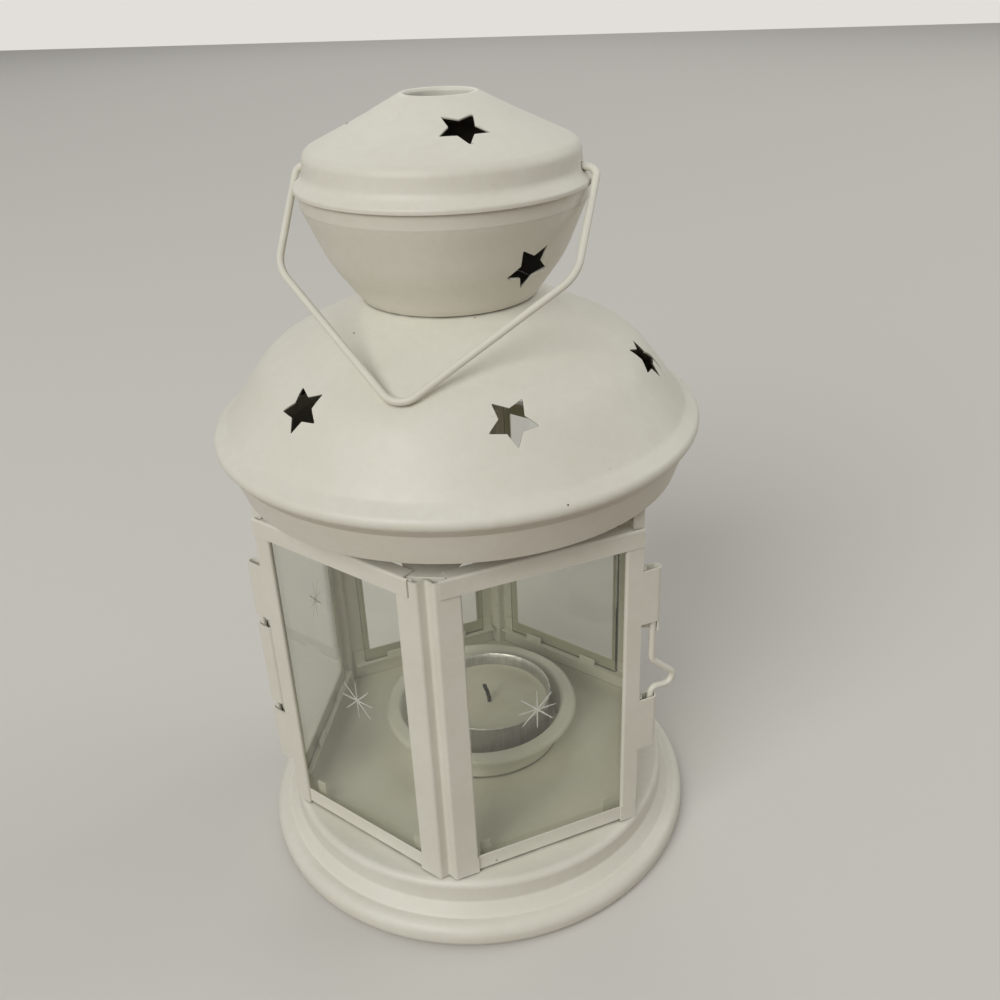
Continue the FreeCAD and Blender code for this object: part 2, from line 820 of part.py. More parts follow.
def bail_handle():
    """Wire handle leaning forward until its point rests on the roof's crown."""
    axis = heading(roof_turn)
    hang = heading(roof_turn - 90) * math.sin(bail_lean) - UP * math.cos(bail_lean)

    def place(point):
        return UP * bail_axis_z + axis * point[0] + hang * point[1]

    end = band_r - bail_inside
    points = [(-end, 0), (-bail_half_width, 0), (-bail_knee_half_width, bail_leg),
              (0, bail_drop), (bail_knee_half_width, bail_leg), (bail_half_width, 0), (end, 0)]
    radii = [bail_hook_bend_r, bail_leg_bend_r, bail_tip_bend_r,
             bail_leg_bend_r, bail_hook_bend_r]
    return wire_solid(points, radii, bail_wire_r, place)


def hinge_pin():
    """Straight wire through the three knuckles of the hinge."""
    low = hinge_lower_knuckle[0] + hinge_pin_recess
    high = hinge_upper_knuckle[1] - hinge_pin_recess
    centre = door_left.point(pin_along(hinge_pin_r), roll_r(hinge_pin_r), low)
    return Part.makeCylinder(hinge_pin_r, high - low, centre)


def latch_wire():
    """Wire held in the two latch knuckles, bent out between them into a finger grip."""
    start = pin_along(latch_wire_r)

    def place(point):
        return door_right.point(start + point[0], roll_r(latch_wire_r), point[1])

    points = [
        (0, latch_upper_knuckle[1] - latch_wire_end),
        (0, latch_grip_start_z),
        (latch_grip_reach, latch_grip_tip_z),
        (0, latch_grip_end_z),
        (0, latch_lower_knuckle[0] + latch_wire_end),
    ]
    radii = [latch_start_bend_r, latch_tip_bend_r, latch_end_bend_r]
    return wire_solid(points, radii, latch_wire_r, place)


def candle_dish():
    """Loose pressed cup with a wide flat rim turned down at its edge."""
    rim_z = base_height + dish_height - dish_sheet
    edge_r = dish_rim_r - dish_sheet
    shell = turned_shell([
        (0, base_height, 0),
        (dish_foot_r, base_height, dish_foot_bend_r),
        (dish_mouth_r, rim_z, dish_mouth_bend_r),
        (edge_r, rim_z, dish_rim_bend_r),
        (edge_r, rim_z - dish_hem, 0),
    ], dish_sheet)
    return shell.translated(Vector(dish_x, dish_y, 0))


def at_tealight(shape):
    """A turned piece moved to where the tealight stands."""
    return shape.translated(Vector(tealight_x, tealight_y, 0))


def tealight_cup():
    """Thin cup with a small lip."""
    return turned_shell([
        (0, tealight_z, 0),
        (tealight_wall_r, tealight_z, tealight_foot_bend_r),
        (tealight_wall_r, tealight_top_z - tealight_foil, 0),
        (tealight_r, tealight_top_z - tealight_foil, 0),
    ], tealight_foil)


def wick_sustainer():
    """Round foil foot with a neck that holds the wick."""
    neck_top = wax_floor_z + sustainer_foil + sustainer_neck
    body = disc(sustainer_r, wax_floor_z, wax_floor_z + sustainer_foil)
    return fused([body, disc(sustainer_neck_r, wax_floor_z, neck_top)]).cut(
        disc(wick_r, wax_floor_z + sustainer_foil, neck_top + overrun))


def tealight_wick():
    """Burnt wick that stands in the wax and leans at its top."""
    points = [(0, wax_floor_z + sustainer_foil), (0, wax_top_z + wick_straight),
              (-wick_lean, wax_top_z + wick_rise)]
    return wire_solid(points, [wick_bend_r], wick_r, in_section)


def tealight_wax():
    """Wax that fills the cup round the sustainer and the wick."""
    wax_r = tealight_wall_r - tealight_foil
    body = turned_bar([
        (0, wax_floor_z, 0),
        (wax_r, wax_floor_z, tealight_foot_bend_r),
        (wax_r, wax_top_z, wax_edge_bend_r),
        (0, wax_top_z, 0),
    ])
    neck_top = wax_floor_z + sustainer_foil + sustainer_neck
    return body.cut([disc(sustainer_r, wax_floor_z - overrun, wax_floor_z + sustainer_foil),
                     disc(sustainer_neck_r, wax_floor_z, neck_top),
                     disc(wick_r, wax_floor_z, wax_top_z + overrun)])


nodes = {
    "base_pan": base_pan(),
    "candle_dish": candle_dish(),
    "tealight_cup": at_tealight(tealight_cup()),
    "tealight_wax": at_tealight(tealight_wax()),
    "tealight_wick": at_tealight(tealight_wick()),
    "wick_sustainer": at_tealight(wick_sustainer()),
    "right_post": folded_post(right_corner, base_height, fixed_window, ring_z),
    "rear_post": folded_post(rear_corner, base_height, fixed_window, ring_z),
    "left_post": folded_post(left_corner, base_height, fixed_window, ring_z),
    "hinge_post": hinge_post(),
    "catch_post": catch_post(),
    "roof_ring": roof_ring(),
    "roof_dome": roof_dome(),
    "chimney_bowl": chimney_bowl(),
    "chimney_cap": chimney_cap(),
    "bail_handle": bail_handle(),
    "hinge_pin": hinge_pin(),
    "latch_wire": latch_wire(),
    "door_corner_post": folded_post(door_corner, door_bottom_z, door_window, post_top_z),
    "door_hinge_stile": stile(door_left, hinge_pin_r,
                              (hinge_lower_knuckle, hinge_upper_knuckle)),
    "door_latch_stile": stile(door_right, latch_wire_r,
                              (latch_lower_knuckle, latch_upper_knuckle)),
    "door_top_rail_left": cap_rail(door_left, left_rail_from_corner),
    "door_top_rail_right": cap_rail(door_right, right_rail_from_corner),
    "door_bottom_rail_left": foot_rail(door_left),
    "door_bottom_rail_right": foot_rail(door_right),
    "door_gusset": gusset(),
    "door_pane_left": door_pane(door_left),
    "door_pane_right": door_pane(door_right),
}

fixed_sides = [
    ("right", fixed_right, plain_leg),
    ("rear_right", fixed_rear_right, post_leg),
    ("rear_left", fixed_rear_left, post_leg),
    ("left", fixed_left, plain_leg),
]
for name, side, start_leg in fixed_sides:
    nodes["bottom_rail_" + name] = fixed_foot_rail(side)
    nodes["top_rail_" + name] = fixed_cap_rail(side)
    nodes["pane_" + name] = fixed_pane(side, start_leg)

os.makedirs("parts", exist_ok=True)
for name, shape in nodes.items():
    shape.exportStep(os.path.join("parts", name + ".step"))
    print(name, "solids", len(shape.Solids), "valid", shape.isValid(), "volume", round(shape.Volume, 1))
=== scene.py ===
import math

import bpy
import bmesh
from mathutils import Matrix, Vector, noise


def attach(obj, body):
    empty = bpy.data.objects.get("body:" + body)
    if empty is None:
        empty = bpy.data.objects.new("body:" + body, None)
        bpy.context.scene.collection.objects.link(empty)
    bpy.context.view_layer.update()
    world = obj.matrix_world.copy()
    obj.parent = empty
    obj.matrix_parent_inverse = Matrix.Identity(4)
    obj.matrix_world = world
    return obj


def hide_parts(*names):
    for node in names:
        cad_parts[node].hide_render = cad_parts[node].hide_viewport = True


# Looks of a small tin candle lantern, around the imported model. Metres, +Z up, the door's
# corner faces -Y.

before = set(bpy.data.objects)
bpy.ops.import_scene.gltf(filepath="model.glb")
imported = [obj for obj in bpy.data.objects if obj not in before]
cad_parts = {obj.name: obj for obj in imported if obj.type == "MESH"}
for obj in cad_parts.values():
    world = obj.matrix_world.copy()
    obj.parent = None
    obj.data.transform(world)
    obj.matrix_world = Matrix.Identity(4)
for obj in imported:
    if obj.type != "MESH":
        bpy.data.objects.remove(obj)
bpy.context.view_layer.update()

MM = 0.001
UP = Vector((0.0, 0.0, 1.0))


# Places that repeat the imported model's own

CAGE_R = 57.6 * MM
CORNERS = {"door": -90.0, "catch": -30.0, "right": 30.0, "rear": 90.0, "left": 150.0,
           "hinge": -150.0}
SIDES = {
    "door_left": ("door", "hinge"),
    "door_right": ("door", "catch"),
    "right": ("catch", "right"),
    "rear_right": ("right", "rear"),
    "rear_left": ("left", "rear"),
    "left": ("hinge", "left"),
}
TEALIGHT = Vector((2.9 * MM, 7.3 * MM, 0.0))


# Colours

def srgb(red, green, blue):
    """Linear colour from 0 to 255 sRGB values."""
    linear = []
    for value in (red, green, blue):
        share = value / 255
        linear.append(share / 12.92 if share <= 0.04045 else ((share + 0.055) / 1.055) ** 2.4)
    return (*linear, 1.0)


CREAM = srgb(230, 228, 216)
CREAM_MOTTLE = srgb(223, 220, 206)
CREAM_GRAIN = srgb(200, 193, 176)
FAINT_SPECK = srgb(150, 138, 116)
DARK_SPECK = srgb(96, 84, 68)
# Brown of the painted shade in the coat's seams, and of the specks in the wax
SEAM_SHADE_AND_GRIME = srgb(92, 80, 62)
CHIPPED = srgb(74, 62, 50)
# Dark brown of the inner faces that look towards the lantern's axis
INNER_DARK = srgb(58, 52, 44)
CLEAR_GLASS = srgb(243, 244, 239)
GLASS_SHADOW = srgb(240, 240, 234)
GROUND_DULL = srgb(214, 216, 206)
GROUND_BRIGHT = srgb(238, 239, 231)
FOIL_DULL = srgb(176, 175, 170)
FOIL_BRIGHT = srgb(203, 202, 197)
WAX_BRIGHT = srgb(226, 222, 209)
WAX_DULL = srgb(214, 209, 192)
CHAR_BLACK = srgb(16, 14, 13)
CHAR_BROWN = srgb(40, 34, 29)
FLOOR_SEEN = srgb(224, 221, 215)
FLOOR_BOUNCE = srgb(150, 136, 120)
BACKDROP = srgb(226, 223, 218)
AMBIENT = (1.0, 1.0, 0.985, 1.0)
AMBIENT_STRENGTH = 0.275


# Where the painted seam shade and the dark inner faces lie. A lean is the cosine between a face's
# normal and the way out from the lantern's axis.

SEAM_REACH = 1.0 * MM
SEAM_SAMPLES = 4
SEAM_OPEN_SHARE = 0.72
SEAM_CLOSED_SHARE = 0.22
SEAM_SHADE_NONE_LEAN = -0.25
SEAM_SHADE_FULL_LEAN = -0.08
INNER_DARK_NONE_LEAN = -0.02
INNER_DARK_FULL_LEAN = -0.12
INNER_DARK_NONE_R = 8.8 * MM
INNER_DARK_FULL_R = 10.5 * MM

# Chips in the roof's coat: places in millimetres and sizes
ROOF_CHIPS = (((-19.95, -21.45, 160.0), 0.34), ((9.12, -20.35, 163.45), 0.22),
              ((10.2, -20.4, 163.36), 0.17), ((32.81, -53.68, 132.47), 0.32))
CHIP_REACH_SHARE = 1.4
CHIP_RAGGED_SHARE = 1.2
CHIP_GRIT_SCALE = 2600.0


# Materials

class Finish:
    """Shader nodes of a material or a world, under construction."""

    def __init__(self, owner, output):
        self.owner = owner
        owner.use_nodes = True
        self.tree = owner.node_tree
        self.tree.nodes.clear()
        self.output = self.add(output)
        self.coordinates = None

    def add(self, kind, inputs=None, **settings):
        made = self.tree.nodes.new("ShaderNode" + kind)
        for key, value in settings.items():
            setattr(made, key, value)
        for key, value in (inputs or {}).items():
            self.put(made.inputs[key], value)
        return made

    def put(self, socket, value):
        if isinstance(value, bpy.types.NodeSocket):
            self.tree.links.new(value, socket)
        else:
            socket.default_value = value

    def math(self, operation, first, second):
        made = self.add("Math", operation=operation)
        self.put(made.inputs[0], first)
        self.put(made.inputs[1], second)
        return made.outputs[0]

    def times(self, first, second):
        return self.math("MULTIPLY", first, second)

    def ramp(self, value, low, high, low_out=0.0, high_out=1.0):
        """Clamped line from low to high."""
        made = self.add("MapRange", {"Value": value, "From Min": low, "From Max": high,
                                     "To Min": low_out, "To Max": high_out})
        made.clamp = True
        return made.outputs["Result"]

    def mix(self, share, first, second):
        made = self.add("Mix", data_type="RGBA")
        self.put(made.inputs["Factor"], share)
        self.put(made.inputs["A"], first)
        self.put(made.inputs["B"], second)
        return made.outputs["Result"]

    def stain(self, base, colour, mask, strength):
        """A colour laid over a base where the mask is 1, as strong as told."""
        return self.mix(self.times(mask, strength), base, colour)

    def mix_shader(self, share, first, second):
        made = self.add("MixShader")
        self.put(made.inputs[0], share)
        self.put(made.inputs[1], first.outputs[0])
        self.put(made.inputs[2], second.outputs[0])
        return made.outputs[0]

    def place(self):
        if self.coordinates is None:
            self.coordinates = self.add("TexCoord")
        return self.coordinates.outputs["Object"]

    def noise(self, scale, detail=2.0, roughness=0.5, vector=None):
        made = self.add("TexNoise", {"Scale": scale, "Detail": detail, "Roughness": roughness})
        self.put(made.inputs["Vector"], vector or self.place())
        return made.outputs["Fac"]

    def bump(self, height, distance, strength, normal=None):
        made = self.add("Bump", {"Height": height, "Distance": distance, "Strength": strength})
        if normal is not None:
            self.put(made.inputs["Normal"], normal)
        return made.outputs["Normal"]

    def specks(self, scale, size, share):
        """Sparse round specks: a share of the cells holds one of about that size."""
        cells = self.add("TexVoronoi", {"Scale": scale, "Vector": self.place()})
        chosen = self.add("SeparateColor", {"Color": cells.outputs["Color"]})
        kept = self.math("GREATER_THAN", chosen.outputs[0], 1 - share)
        reach = self.times(chosen.outputs[1], size * scale)
        near = self.math("LESS_THAN", cells.outputs["Distance"], reach)
        return self.times(kept, near)

    def chip(self, spot, size):
        """1 inside a small ragged chip. The place and the size are in millimetres."""
        centre = tuple(value * MM for value in spot)
        away = self.add("VectorMath", {0: self.place(), 1: centre}, operation="DISTANCE")
        ragged = self.times(self.noise(scale=CHIP_GRIT_SCALE), size * CHIP_RAGGED_SHARE * MM)
        return self.math("LESS_THAN", self.math("ADD", away.outputs["Value"], ragged),
                         size * CHIP_REACH_SHARE * MM)

    def from_axis(self):
        """Distance from the lantern's axis, and how far a face looks away from it."""
        spot = self.add("SeparateXYZ", {"Vector": self.place()})
        flat = self.add("CombineXYZ", {"X": spot.outputs[0], "Y": spot.outputs[1]})
        reach = self.add("VectorMath", {0: flat.outputs[0]}, operation="LENGTH")
        way = self.add("VectorMath", {0: flat.outputs[0]}, operation="NORMALIZE")
        geometry = self.add("NewGeometry")
        own = self.add("VectorTransform", {"Vector": geometry.outputs["True Normal"]},
                       vector_type="NORMAL", convert_from="WORLD", convert_to="OBJECT")
        lean = self.add("VectorMath", {0: own.outputs[0], 1: way.outputs[0]},
                        operation="DOT_PRODUCT")
        return reach.outputs["Value"], lean.outputs["Value"]

    def facing_axis(self):
        """1 on faces that look towards the lantern's axis, beyond the vent's rim."""
        reach, lean = self.from_axis()
        return self.times(self.ramp(lean, INNER_DARK_NONE_LEAN, INNER_DARK_FULL_LEAN),
                          self.ramp(reach, INNER_DARK_NONE_R, INNER_DARK_FULL_R))

    def seam_shade_mask(self):
        """Painted shade mask: 1 deep in narrow seams, 0 on open faces and on those that look
        towards the axis.
        """
        hidden = self.add("AmbientOcclusion", {"Distance": SEAM_REACH}, samples=SEAM_SAMPLES)
        closed = self.ramp(hidden.outputs["AO"], SEAM_OPEN_SHARE, SEAM_CLOSED_SHARE)
        lean = self.from_axis()[1]
        return self.times(closed, self.ramp(lean, SEAM_SHADE_NONE_LEAN, SEAM_SHADE_FULL_LEAN))

    def seen(self):
        """1 for rays that show a surface, 0 for those that only fetch light from it."""
        path = self.add("LightPath")
        sight = self.math("MAXIMUM", path.outputs["Is Camera Ray"],
                          path.outputs["Is Glossy Ray"])
        return self.math("MAXIMUM", sight, path.outputs["Is Transmission Ray"])

    def principled(self, colour, roughness, normal, more=None):
        return self.add("BsdfPrincipled", {"Base Color": colour, "Roughness": roughness,
                                           "Normal": normal, **(more or {})})

    def surface(self, shader):
        self.tree.links.new(shader, self.output.inputs["Surface"])
        return self.owner


def new_finish(name):
    return Finish(bpy.data.materials.new(name), "OutputMaterial")


def cream_coat(name, dark_inside=False, chips=()):
    """Satin powder coat: faint orange peel, soft mottling, specks, painted shade in uneven
    patches in its seams, and where asked for chips and dark matt inner faces that look towards
    the axis."""
    f = new_finish(name)
    mottle = f.noise(scale=38.0, detail=3.0, roughness=0.6)
    base = f.mix(f.ramp(mottle, low=0.3, high=0.75), CREAM, CREAM_MOTTLE)
    grain = f.noise(scale=420.0, detail=4.0, roughness=0.65)
    base = f.mix(f.ramp(grain, low=0.3, high=0.7, high_out=0.14), base, CREAM_GRAIN)
    dark = f.specks(scale=160.0, size=0.30 * MM, share=0.10)
    faint = f.specks(scale=310.0, size=0.22 * MM, share=0.12)
    base = f.stain(base, FAINT_SPECK, faint, strength=0.35)
    base = f.stain(base, DARK_SPECK, dark, strength=0.8)
    patches = f.ramp(f.noise(scale=170.0), low=0.3, high=0.6, low_out=0.45, high_out=0.8)
    # Painted shade: narrow seams darkened by ambient occlusion, in uneven patches
    base = f.stain(base, SEAM_SHADE_AND_GRIME, f.seam_shade_mask(), strength=patches)
    for spot, size in chips:
        base = f.stain(base, CHIPPED, f.chip(spot, size), strength=0.85)
    wave = f.noise(scale=60.0, detail=1.0, roughness=0.4)
    peel = f.noise(scale=950.0, detail=2.0, roughness=0.5)
    fine = f.noise(scale=3600.0, detail=2.0, roughness=0.6)
    normal = f.bump(wave, distance=0.40 * MM, strength=0.5)
    normal = f.bump(peel, distance=0.06 * MM, strength=0.5, normal=normal)
    normal = f.bump(fine, distance=0.012 * MM, strength=0.5, normal=normal)
    sheen = f.noise(scale=140.0, detail=3.0, roughness=0.6)
    gloss = f.ramp(sheen, low=0.25, high=0.75, low_out=0.37, high_out=0.49)
    # Inner faces that look towards the axis turn dark brown and matt
    if dark_inside:
        inside = f.facing_axis()
        cloud = f.noise(scale=90.0, detail=4.0, roughness=0.65)
        cloud = f.ramp(cloud, low=0.3, high=0.7, low_out=0.86)
        base = f.stain(base, INNER_DARK, inside, strength=cloud)
        gloss = f.ramp(inside, low=0.0, high=1.0, low_out=gloss, high_out=0.85)
    coat = f.principled(base, gloss, normal, {"IOR": 1.46, "Specular IOR Level": 0.45})
    return f.surface(coat.outputs[0])


def pane_glass(name):
    """Thin float glass with a faint green tint and smears, that lets light straight through."""
    f = new_finish(name)
    smear = f.noise(scale=55.0, detail=4.0, roughness=0.7)
    smear = f.ramp(smear, low=0.45, high=0.8, high_out=0.10)
    wave = f.noise(scale=22.0, detail=1.0, roughness=0.4)
    normal = f.bump(wave, distance=0.40 * MM, strength=0.06)
    solid = f.principled(CLEAR_GLASS, smear, normal, {"IOR": 1.5, "Transmission Weight": 1.0})
    clear = f.add("BsdfTransparent", {"Color": GLASS_SHADOW})
    path = f.add("LightPath")
    lighting = f.math("MAXIMUM", path.outputs["Is Shadow Ray"], path.outputs["Is Diffuse Ray"])
    return f.surface(f.mix_shader(lighting, solid, clear))


def ground_glass(name):
    """Faces of an engraved stroke, left matt by the wheel."""
    f = new_finish(name)
    grit = f.noise(scale=5200.0, detail=3.0, roughness=0.7)
    tone = f.mix(f.ramp(grit, low=0.35, high=0.65), GROUND_DULL, GROUND_BRIGHT)
    normal = f.bump(grit, distance=0.03 * MM, strength=0.8)
    gloss = f.noise(scale=2400.0, detail=2.0, roughness=0.5)
    gloss = f.ramp(gloss, low=0.3, high=0.7, low_out=0.42, high_out=0.60)
    matt = f.principled(tone, gloss, normal, {"IOR": 1.5, "Transmission Weight": 0.45})
    return f.surface(matt.outputs[0])


def foil(name):
    """Thin drawn aluminium with fine upright wrinkles and a dull bloom."""
    f = new_finish(name)
    stretched = f.add("Mapping", {"Vector": f.place(), "Scale": (1.0, 1.0, 0.08)})
    streak = f.noise(scale=900.0, detail=3.0, roughness=0.6, vector=stretched.outputs[0])
    dents = f.noise(scale=240.0, detail=2.0, roughness=0.5)
    tone = f.mix(f.ramp(streak, low=0.3, high=0.7), FOIL_DULL, FOIL_BRIGHT)
    gloss = f.noise(scale=300.0, detail=3.0, roughness=0.6)
    gloss = f.ramp(gloss, low=0.3, high=0.7, low_out=0.44, high_out=0.56)
    normal = f.bump(dents, distance=0.40 * MM, strength=0.35)
    normal = f.bump(streak, distance=0.04 * MM, strength=0.6, normal=normal)
    metal = f.principled(tone, gloss, normal, {"Metallic": 1.0})
    return f.surface(metal.outputs[0])


def candle_wax(name):
    """Burnt-in cream wax: soft sheen, slightly uneven, light shows through it."""
    f = new_finish(name)
    cloud = f.noise(scale=120.0, detail=3.0, roughness=0.6)
    tone = f.mix(f.ramp(cloud, low=0.3, high=0.75), WAX_BRIGHT, WAX_DULL)
    specks = f.specks(scale=420.0, size=0.25 * MM, share=0.10)
    tone = f.stain(tone, SEAM_SHADE_AND_GRIME, specks, strength=0.6)
    gloss = f.noise(scale=260.0, detail=2.0, roughness=0.5)
    gloss = f.ramp(gloss, low=0.3, high=0.7, low_out=0.36, high_out=0.52)
    swell = f.noise(scale=170.0, detail=3.0, roughness=0.5)
    normal = f.bump(swell, distance=0.60 * MM, strength=0.4)
    body = f.principled(tone, gloss, normal, {
        "IOR": 1.44, "Subsurface Weight": 0.35, "Subsurface Radius": (1.0, 0.85, 0.6),
        "Subsurface Scale": 1.5 * MM})
    return f.surface(body.outputs[0])


def charred(name):
    """Burnt cotton braid."""
    f = new_finish(name)
    ash = f.noise(scale=1500.0, detail=3.0, roughness=0.6)
    tone = f.mix(f.ramp(ash, low=0.35, high=0.7), CHAR_BLACK, CHAR_BROWN)
    crust = f.noise(scale=2600.0, detail=2.0, roughness=0.6)
    normal = f.bump(crust, distance=0.10 * MM, strength=0.8)
    cotton = f.principled(tone, 0.92, normal)
    return f.surface(cotton.outputs[0])


coat = cream_coat("cream_powder_coat")
dark_inside_coat = cream_coat("cream_powder_coat_dark_inside", dark_inside=True, chips=ROOF_CHIPS)
engraved = ground_glass("engraved_glass")
glass = pane_glass("float_glass")
tin_foil = foil("drawn_foil")
wax = candle_wax("cream_wax")
wick = charred("burnt_wick")

SLOT_FINISH = {"cream_coat": coat, "pane_glass": glass, "tealight_foil": tin_foil, "wax": wax,
               "wick": wick}


# Looks of the imported pieces: coats, smooth faces and rounded sheet edges

# Pieces whose inner faces that look towards the axis are made dark
DARK_INSIDE_PIECES = ("roof_dome", "chimney_bowl", "chimney_cap")

# Folded pieces, whose short fold edges let the rounding run out of the sheet unless it is held
FOLDED = ("post", "stile", "door_top_rail")

WELD_REACH = 0.002 * MM
FLAT_ANGLE = math.radians(0.5)
EDGE_ROUND = 0.15 * MM
EDGE_SEGMENTS = 2
EDGE_ANGLE = math.radians(60)
NORMAL_WEIGHT = 80


def slot_of(name):
    """Material slot of a node, as the record states it."""
    if name.startswith("pane_") or name.startswith("door_pane"):
        return "pane_glass"
    if name in ("tealight_cup", "wick_sustainer"):
        return "tealight_foil"
    if name == "tealight_wax":
        return "wax"
    if name == "tealight_wick":
        return "wick"
    return "cream_coat"


def round_edges(name, node):
    """Rounded sheet edges. Most rails and the gusset have their flat faces joined first."""
    if "bottom_rail" in name or name.startswith("top_rail") or name == "door_gusset":
        flat = node.modifiers.new("flat", "DECIMATE")
        flat.decimate_type = "DISSOLVE"
        flat.angle_limit = FLAT_ANGLE
    bevel = node.modifiers.new("edges", "BEVEL")
    bevel.width = EDGE_ROUND
    bevel.segments = EDGE_SEGMENTS
    bevel.limit_method = "ANGLE"
    bevel.angle_limit = EDGE_ANGLE
    bevel.use_clamp_overlap = any(word in name for word in FOLDED)
    weighted = node.modifiers.new("normals", "WEIGHTED_NORMAL")
    weighted.weight = NORMAL_WEIGHT


for name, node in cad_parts.items():
    slot = slot_of(name)
    node.data.materials.clear()
    node.data.materials.append(dark_inside_coat if name in DARK_INSIDE_PIECES else SLOT_FINISH[slot])
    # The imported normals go, so that the rounded edges get their own
    if "custom_normal" in node.data.attributes:
        node.data.attributes.remove(node.data.attributes["custom_normal"])
    weld = node.modifiers.new("weld", "WELD")
    weld.merge_threshold = WELD_REACH
    node.data.shade_smooth()
    if slot == "cream_coat":
        round_edges(name, node)


# Meshes

def outward(mesh):
    """Turn all faces outward."""
    work = bmesh.new()
    work.from_mesh(mesh)
    bmesh.ops.recalc_face_normals(work, faces=work.faces)
    work.to_mesh(mesh)
    work.free()


def mesh_object(name, points, faces, *materials):
    """Mesh piece with its faces turned outward."""
    mesh = bpy.data.meshes.new(name)
    mesh.from_pydata([tuple(point) for point in points], [], faces)
    made = bpy.data.objects.new(name, mesh)
    bpy.context.scene.collection.objects.link(made)
    for material in materials:
        mesh.materials.append(material)
    outward(mesh)
    return made


def bands(rows):
    """Faces between rows of points round a body. A row of one point is a tip."""
    faces = []
    for low, high in zip(rows, rows[1:]):
        count = max(len(low), len(high))
        for k in range(count):
            n = (k + 1) % count
            if len(low) == 1:
                faces.append((low[0], high[k], high[n]))
            elif len(high) == 1:
                faces.append((low[k], low[n], high[0]))
            else:
                faces.append((low[k], low[n], high[n], high[k]))
    return faces


def take_place(piece, node_name, body):
    """Let a piece ride on a body in place of one of its nodes."""
    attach(piece, body)
    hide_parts(node_name)


# Panes: flat glass with ground edges and an engraved spark

GROUND_EDGE = 0.22 * MM
SPARK_Z = 66.5 * MM
DOOR_SPARK_ALONG = 28.0 * MM
FIXED_SPARK_ALONG = 33.2 * MM
SPARK_HALF_WIDTH = 0.27 * MM
SPARK_DEPTH = 0.24 * MM

# Angle in degrees and length in millimetres of each stroke of a spark
SPARK_RAYS = ((0.0, 11.0), (45.0, 12.6), (90.0, 12.4), (135.0, 12.8))

# Places from end to end of a stroke, and the share of its full section there
RAY_SHAPE = ((-1.0, 0.0), (-0.90, 0.62), (-0.12, 1.0), (0.12, 1.0), (0.90, 0.62), (1.0, 0.0))

# Faces of a stroke are no farther than this from the spark's middle, and no flatter than this
SPARK_REACH = 9 * MM
FLAT_COSINE = 0.995


def heading(azimuth):
    """Level way out from the axis, at degrees from +X."""
    angle = math.radians(azimuth)
    return Vector((math.cos(angle), math.sin(angle), 0.0))


class Side:
    """One flat side of the cage: along it from a corner, into the cage, and up."""

    def __init__(self, first, second):
        self.start = heading(CORNERS[first]) * CAGE_R
        end = heading(CORNERS[second]) * CAGE_R
        self.along = (end - self.start).normalized()
        self.inward = -(self.start + end).normalized()

    def point(self, along, depth, height):
        return self.start + self.along * along + self.inward * depth + UP * height

    def reach(self, node):
        """Lowest and highest of a node's points along the side, into it and up."""
        places = [(v.co - self.start).dot(self.along) for v in node.data.vertices]
        depths = [(v.co - self.start).dot(self.inward) for v in node.data.vertices]
        heights = [v.co.z for v in node.data.vertices]
        return [(min(values), max(values)) for values in (places, depths, heights)]


def glass_slab(name, side, places, depths, heights):
    """Flat pane with narrow ground chamfers along all its edges."""
    points = []
    for depth, inset in ((depths[0], GROUND_EDGE), (depths[0] + GROUND_EDGE, 0.0),
                         (depths[1] - GROUND_EDGE, 0.0), (depths[1], GROUND_EDGE)):
        for along, up in ((0, 0), (1, 0), (1, 1), (0, 1)):
            points.append(side.point(places[along] + (inset if along == 0 else -inset), depth,
                                     heights[up] + (inset if up == 0 else -inset)))
    rows = [[4 * ring + k for k in range(4)] for ring in range(4)]
    faces = [tuple(rows[0]), tuple(rows[-1])] + bands(rows)
    return mesh_object(name, points, faces, glass, engraved)


def spark_cutter(name, side, along, depth, angle, length):
    """Slender spindle, a diamond in section, whose inner half cuts a tapered groove."""
    run = side.along * math.cos(math.radians(angle)) + UP * math.sin(math.radians(angle))
    across = run.cross(side.inward)
    middle = side.point(along, depth, SPARK_Z)
    points, rows = [], []
    for share, swell in RAY_SHAPE:
        centre = middle + run * (share * length / 2)
        if swell == 0:
            rows.append([len(points)])
            points.append(centre)
            continue
        rows.append([len(points) + k for k in range(4)])
        points += [centre + side.inward * (SPARK_DEPTH * swell),
                   centre + across * (SPARK_HALF_WIDTH * swell),
                   centre - side.inward * (SPARK_DEPTH * swell),
                   centre - across * (SPARK_HALF_WIDTH * swell)]
    return mesh_object(name, points, bands(rows), engraved)


def baked(piece):
    """Apply a piece's modifiers to its mesh."""
    graph = bpy.context.evaluated_depsgraph_get()
    mesh = bpy.data.meshes.new_from_object(piece.evaluated_get(graph))
    piece.modifiers.clear()
    piece.data = mesh


def engraved_pane(node_name, side_name, body, spark_along):
    """Pane with a spark of four strokes cut into its outer face."""
    side = Side(*SIDES[side_name])
    places, depths, heights = side.reach(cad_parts[node_name])
    outer = depths[0]
    pane = glass_slab("glass_" + side_name, side, places, depths, heights)
    cutters = [spark_cutter("cutter", side, spark_along, outer, angle, length * MM)
               for angle, length in SPARK_RAYS]
    for cutter in cutters:
        cut = pane.modifiers.new("engrave", "BOOLEAN")
        cut.operation = "DIFFERENCE"
        cut.solver = "EXACT"
        cut.object = cutter
    bpy.context.view_layer.update()
    baked(pane)
    for cutter in cutters:
        bpy.data.objects.remove(cutter)
    centre = side.point(spark_along, outer, SPARK_Z)
    for face in pane.data.polygons:
        near = (face.center - centre).length < SPARK_REACH
        face.material_index = 1 if near and abs(face.normal.dot(side.inward)) < FLAT_COSINE else 0
    take_place(pane, node_name, body)


